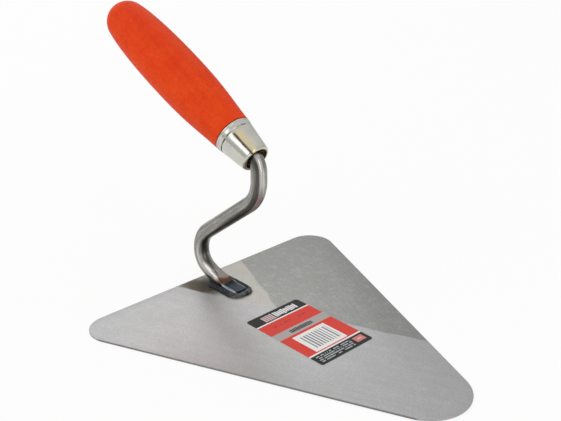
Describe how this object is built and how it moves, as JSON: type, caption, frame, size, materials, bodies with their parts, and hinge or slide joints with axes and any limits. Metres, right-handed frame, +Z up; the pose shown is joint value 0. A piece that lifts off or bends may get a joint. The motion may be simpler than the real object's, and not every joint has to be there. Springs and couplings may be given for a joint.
{
  "type": "brick trowel",
  "caption": "Triangular brick trowel: flat sheet-steel blade, bent round-rod neck welded on, cone ferrule, turned wooden handle and a paper sticker.",
  "frame": {"origin": "centre of the blade's underside: halfway from the rear edge to the tip, on the centreline", "axes": "+X along the blade to its tip, +Y to the left edge, +Z up, out of the blade's top face"},
  "size_m": [0.2814, 0.188, 0.1631],
  "materials": {
    "blade_steel": "rolled sheet, ground in two directions, thin film of oil",
    "rod_steel": "bright drawn rod, tinted by heat next to the weld",
    "weld_oxide": "rippled weld metal with blue-black oxide",
    "ferrule_plate": "bright nickel plate on drawn steel",
    "handle_paint": "turned hardwood under satin orange-red paint",
    "label_print": "printed paper sticker with plain bars and blocks, no lettering"
  },
  "bodies": {
    "root": {"blade": "blade_steel", "neck": "rod_steel", "weld_bead": "weld_oxide", "ferrule": "ferrule_plate", "handle": "handle_paint", "label": "label_print"}
  },
  "joints": []
}
